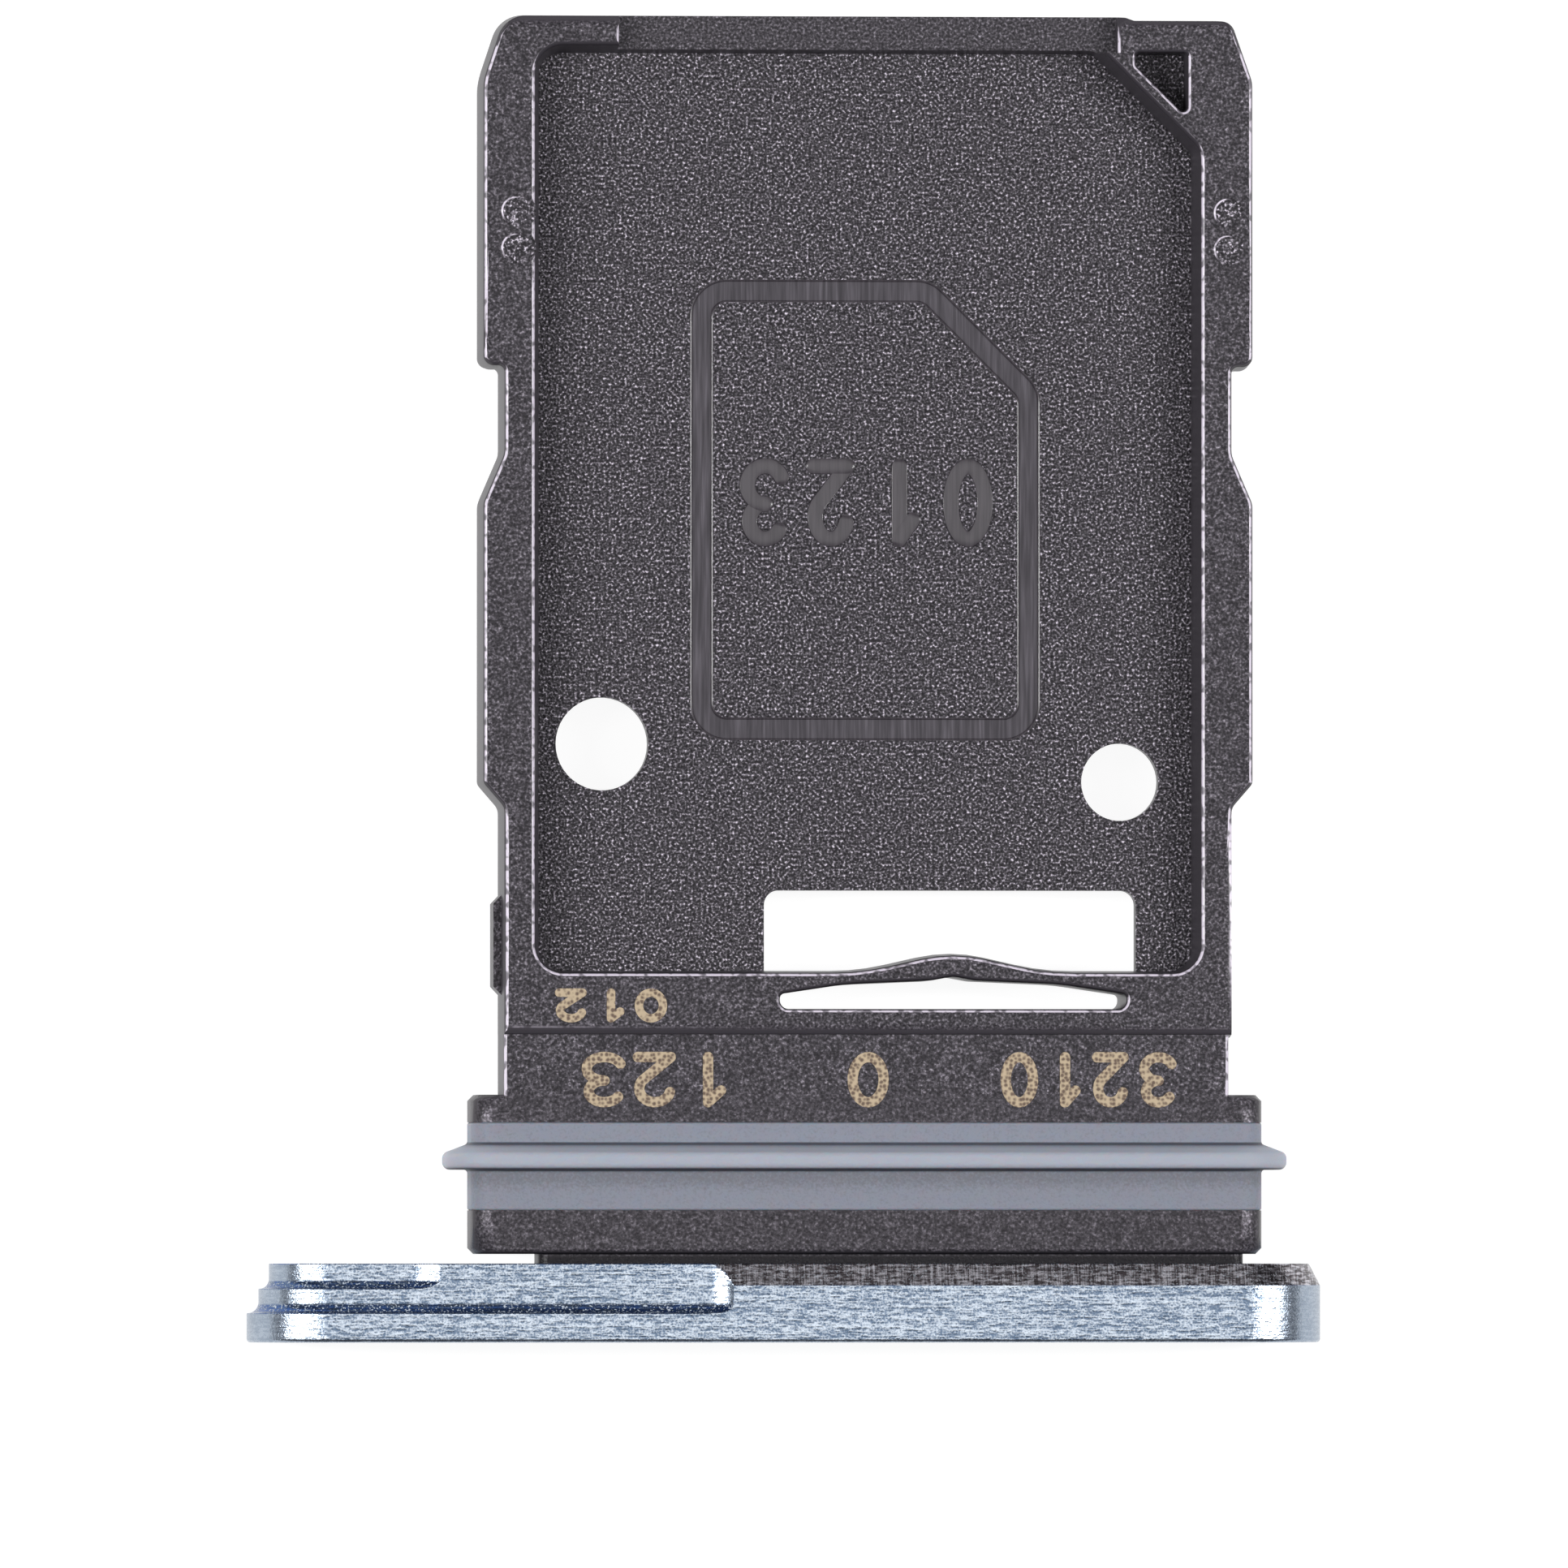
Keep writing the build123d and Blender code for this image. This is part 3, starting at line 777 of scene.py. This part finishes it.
def pinMark(name, x, y, z, material):
    # An ejector pin's mark: a low disc over a polar grid, whose edge is steepest towards one side
    p = pinMarks
    turn = np.linspace(0, 2 * np.pi, p["turnSteps"], endpoint=False)[:, None]
    out = np.linspace(p["eye"], p["radius"] + 2 * p["width"], p["outSteps"])[None, :]
    steep = p["steepMean"] + p["steepSwing"] * np.cos(turn - np.pi * p["steepSide"])
    fall = np.tanh((out - p["radius"]) / p["width"] * p["sharpness"] * steep)
    rise = p["proud"] * (0.5 - 0.5 * fall) * steep - p["sink"]
    points = np.stack([x + out * np.cos(turn), y + out * np.sin(turn), z + rise], axis=-1)
    return dress(gridMesh(name, points[:, ::-1], closedU=True), name, material)


outlineShape = {
    "width": 4.75,
    "length": 6.24,
    "keyLeg": 1.47,
    "corner": 0.50,
    "line": 0.31,
    "fromTip": 3.575,  # tray's tip to the outline's top edge
    "depth": 0.03,
    "lift": 0.0005,  # clear of the floor
    "cornerSteps": 14,
    "lipSteps": 9,
}


def outlineLip(name, inset, side, face, material):
    # A quarter-round lip carried along one edge of the sunk card outline, over the depth of the line
    o = outlineShape
    halfX, halfY = o["width"] / 2 - inset, o["length"] / 2 - inset
    leg = o["keyLeg"] - (2 - math.sqrt(2)) * inset
    corners = [(-halfX, -halfY), (halfX, -halfY), (halfX, halfY - leg), (halfX - leg, halfY), (-halfX, halfY)]
    path = roundedLine(corners, [o["corner"] - inset] * len(corners), o["cornerSteps"])
    along = np.roll(path, -1, axis=0) - np.roll(path, 1, axis=0)
    along /= np.linalg.norm(along, axis=1, keepdims=True)
    inward = side * np.stack([-along[:, 1], along[:, 0]], axis=1)
    angle = np.linspace(0, np.pi / 2, o["lipSteps"])
    flat = path[:, None] + inward[:, None] * (o["depth"] * np.sin(angle))[None, :, None]
    centreY = trayHigh[1] - o["fromTip"] - o["length"] / 2
    drop = np.broadcast_to(o["depth"] * (1 - np.cos(angle)), flat.shape[:2])
    z = middleZ + face * (floorTop - middleZ + o["lift"] - drop)
    points = np.stack([trayX + face * flat[..., 0], centreY + flat[..., 1], z], axis=-1)
    mesh = gridMesh(name, points[:, ::side], closedU=True)
    return dress(mesh, name, material)


def bow(x, y, halfWidth, halfHeight, start, stop, steps=48):
    # Part of an ellipse, from one angle to another in degrees
    angle = np.radians(np.linspace(start, stop, steps))
    return np.stack([x + halfWidth * np.cos(angle), y + halfHeight * np.sin(angle)], axis=1)


def straight(low, high, steps=16):
    # Points spread evenly from one place to another
    low, high = np.array(low, float), np.array(high, float)
    return low + (high - low) * np.linspace(0, 1, steps)[:, None]


# Plain numerals as pen strokes in a box one wide and one high
strokes = {
    "0": [bow(0.5, 0.5, 0.5, 0.5, 90, 450)],
    "1": [straight((0.5, 1), (0.5, 0)), straight((0.12, 0.74), (0.5, 1))],
    "2": [np.concatenate([bow(0.5, 0.70, 0.46, 0.30, 165, -38), [(0.03, 0.0)]]), straight((0.03, 0), (1, 0))],
    "3": [bow(0.42, 0.76, 0.46, 0.24, 150, -90), bow(0.42, 0.26, 0.52, 0.26, 90, -155)],
}
penShape = {
    "tipTurn": 0.06,  # radians from the very end, where the grid starts
    "tipSteps": 8,
    "edgeSteps": 7,
    "strokeLift": 0.0006,  # a digit's second stroke lies over its first
}


def penStroke(name, line, width, rise, level, material):
    # A ribbon along a line: its half width closes as a half circle at both ends, its edges are rounded down
    p = penShape
    closed = np.allclose(line[0], line[-1])
    if closed:
        line = line[:-1]
        along = np.roll(line, -1, axis=0) - np.roll(line, 1, axis=0)
    else:
        along = np.gradient(line, axis=0)
    along /= np.linalg.norm(along, axis=1, keepdims=True)
    half = np.full(len(line), width / 2)
    if not closed:
        turn = np.linspace(p["tipTurn"], np.pi / 2, p["tipSteps"], endpoint=False)
        reach, shrink = np.cos(turn)[:, None] * width / 2, np.sin(turn) * width / 2
        line = np.concatenate([line[0] - along[0] * reach, line, line[-1] + along[-1] * reach[::-1]])
        half = np.concatenate([shrink, half, shrink[::-1]])
        ends = np.ones((len(turn), 1))
        along = np.concatenate([along[0] * ends, along, along[-1] * ends])
    across = np.stack([-along[:, 1], along[:, 0]], axis=1)
    angle = np.linspace(0, np.pi / 2, p["edgeSteps"])
    bend = 1 - rise / width * (1 - np.cos(angle))
    edge = np.concatenate([-bend, bend[::-1]])
    height = np.concatenate([np.sin(angle), np.sin(angle[::-1])]) * rise
    flat = line[:, None] + across[:, None] * (half[:, None] * edge[None, :])[..., None]
    points = np.concatenate([flat, np.broadcast_to(level + height, flat.shape[:2])[..., None]], axis=-1)
    return dress(gridMesh(name, points, closedU=closed), name, material)


def numerals(name, text, centre, size, gap, pen, level, material):
    # Numerals written from right to left and upside down, as they stand on the tray
    width, rise = pen
    pitch = size[0] + gap
    right = centre[0] + pitch * (len(text) - 1) / 2
    for place, digit in enumerate(text):
        for number, line in enumerate(strokes[digit]):
            flat = (0.5 - line) * (np.array(size) - width) + (right - place * pitch, centre[1])
            lift = level + penShape["strokeLift"] * number
            penStroke(f"{name}{place}{number}", flat, width, rise, lift, material)


plastic = plasticMaterial("sparkErodedPlastic", plasticLook["rimSpeckle"])
pinPlastic = plasticMaterial("pinMarkPlastic", plasticLook["pocketSpeckle"])
polished = smoothMaterial()
laser = laserMaterial()
trayBody(plastic)
beadLow = sealLow[1] + sealShape["beadStart"]
beadHigh = beadLow + sealShape["beadCrest"] + sealShape["beadSlope"]
sealRing(siliconeMaterial(beadLow, beadHigh))
cap(anodisedMaterial(capLow[0] + outerStep["stop"], capLow[1] + capShape["bevelDepth"]))
print("tray, seal ring and cap made")

for face, where in ((1, "Upper"), (-1, "Lower")):
    outlineLip(f"outlineOuterLip{where}", 0.0, 1, face, polished)
    outlineLip(f"outlineInnerLip{where}", outlineShape["line"], -1, face, polished)
for row, y in enumerate(pinMarks["rows"]):
    pinMark(f"pinMarkLeft{row}", pinMarks["leftX"], y, railTop, pinPlastic)
    pinMark(f"pinMarkRight{row}", pinMarks["rightX"], y, railTop, pinPlastic)
print("outline lips and pin marks made")

# Each pen is its width and its rise; marks on the neck stand in one row
neckTop = sealHigh[2] - sealShape["beadProud"]
markRow = -5.43
polishedSink = 0.004
laserLift = 0.001
polishedMark = {"pen": (0.215, 0.02), "level": floorTop - polishedSink, "material": polished}
neckMark = {"pen": (0.14, 0.004), "level": neckTop + laserLift, "material": laser}
wallMark = {"pen": (0.115, 0.004), "level": railTop + laserLift, "material": laser}
numerals("cardMark", "0123", (trayX, 2.385), size=(0.68, 1.20), gap=0.25, **polishedMark)
numerals("markLeft", "123", (-1.80, markRow), size=(0.60, 0.75), gap=0.12, **neckMark)
numerals("markMiddle", "0", (trayX, markRow), size=(0.56, 0.75), gap=0.12, **neckMark)
numerals("markRight", "3210", (4.07, markRow), size=(0.51, 0.75), gap=0.11, **neckMark)
numerals("markSmall", "012", (-2.40, -4.43), size=(0.44, 0.46), gap=0.10, **wallMark)
print("numerals made")

studio = {
    "floorSize": 2.0,  # m
    "floorColour": (0.15, 0.15, 0.15, 1),
    "floorRoughness": 0.8,
    "floorSpecular": 0.2,
    "floorGlow": 0.92,
    "ambient": (0.11, 0.11, 0.12, 1),
    "lens": 600.0,
    "sensor": 36.0,
    "pictureWidth": 21.23,  # mm across the photograph's frame
    "aim": (0.0, -1.423, 1.165),
    "leanLeft": 4.3,  # degrees
    "leanFront": 1.0,
}
softboxes = {
    "leftBox": {"place": (-0.21, 0.01, 0.21), "size": (0.02, 0.22), "radiance": 42.0},
    "rightBox": {"place": (0.21, 0.01, 0.21), "size": (0.02, 0.17), "radiance": 46.0},
    "topBox": {"place": (0.0, 0.03, 0.60), "size": (0.44, 0.24), "radiance": 1.6},
    "backBox": {"place": (0.0, 0.36, 0.26), "size": (0.30, 0.10), "radiance": 0.8},
}


def softbox(name, place, size, radiance):
    # A rectangular light that faces the tray; its power follows from how bright its face is
    light = bpy.data.lights.new(name, "AREA")
    light.shape = "RECTANGLE"
    light.size, light.size_y = size
    light.energy = radiance * math.pi * size[0] * size[1]
    lamp = bpy.data.objects.new(name, light)
    lamp.location = place
    lamp.rotation_euler = (-Vector(place)).to_track_quat("-Z", "Y").to_euler()
    bpy.context.scene.collection.objects.link(lamp)
    return lamp


def whiteFloor():
    # A glowing white table, so that its shadows stay faint
    s = studio
    half = s["floorSize"] / mm / 2
    span = np.linspace(-half, half, 3)
    points = np.stack([*np.meshgrid(span, span, indexing="ij"), np.zeros((3, 3))], axis=-1)
    mesh = gridMesh("floor", points)
    sockets = {"Base Color": s["floorColour"], "Roughness": s["floorRoughness"]}
    sockets.update({"Specular IOR Level": s["floorSpecular"]})
    sockets.update({"Emission Color": (1, 1, 1, 1), "Emission Strength": s["floorGlow"]})
    mesh.materials.append(newMaterial("whiteTable", sockets)[0])
    floor = bpy.data.objects.new("floor", mesh)
    bpy.context.scene.collection.objects.link(floor)


def studioWorld():
    # A dim even light from all sides
    world = bpy.data.worlds.new("studio")
    world.use_nodes = True
    world.node_tree.nodes["Background"].inputs["Color"].default_value = studio["ambient"]
    bpy.context.scene.world = world
    bpy.context.scene.view_settings.view_transform = "Standard"


def photoCamera():
    # A long lens high over the tray, leaning a little from the left and from the cap's end
    s = studio
    camera = bpy.data.cameras.new("camera")
    camera.lens = s["lens"]
    camera.sensor_width = s["sensor"]
    distance = s["pictureWidth"] * mm * s["lens"] / s["sensor"]
    lean = Vector((-math.tan(math.radians(s["leanLeft"])), -math.tan(math.radians(s["leanFront"])), 1))
    aim = Vector(s["aim"]) * mm
    back = lean.normalized()
    right = Vector((0, 1, 0)).cross(back).normalized()
    up = back.cross(right)
    turn = Matrix((right, up, back)).transposed()
    holder = bpy.data.objects.new("camera", camera)
    holder.matrix_world = Matrix.Translation(aim + back * distance) @ turn.to_4x4()
    camera.clip_start = distance / 10
    camera.clip_end = distance * 10
    bpy.context.scene.collection.objects.link(holder)
    bpy.context.scene.camera = holder


whiteFloor()
for name, box in softboxes.items():
    softbox(name, **box)
studioWorld()
photoCamera()
print("floor, lights and camera made")
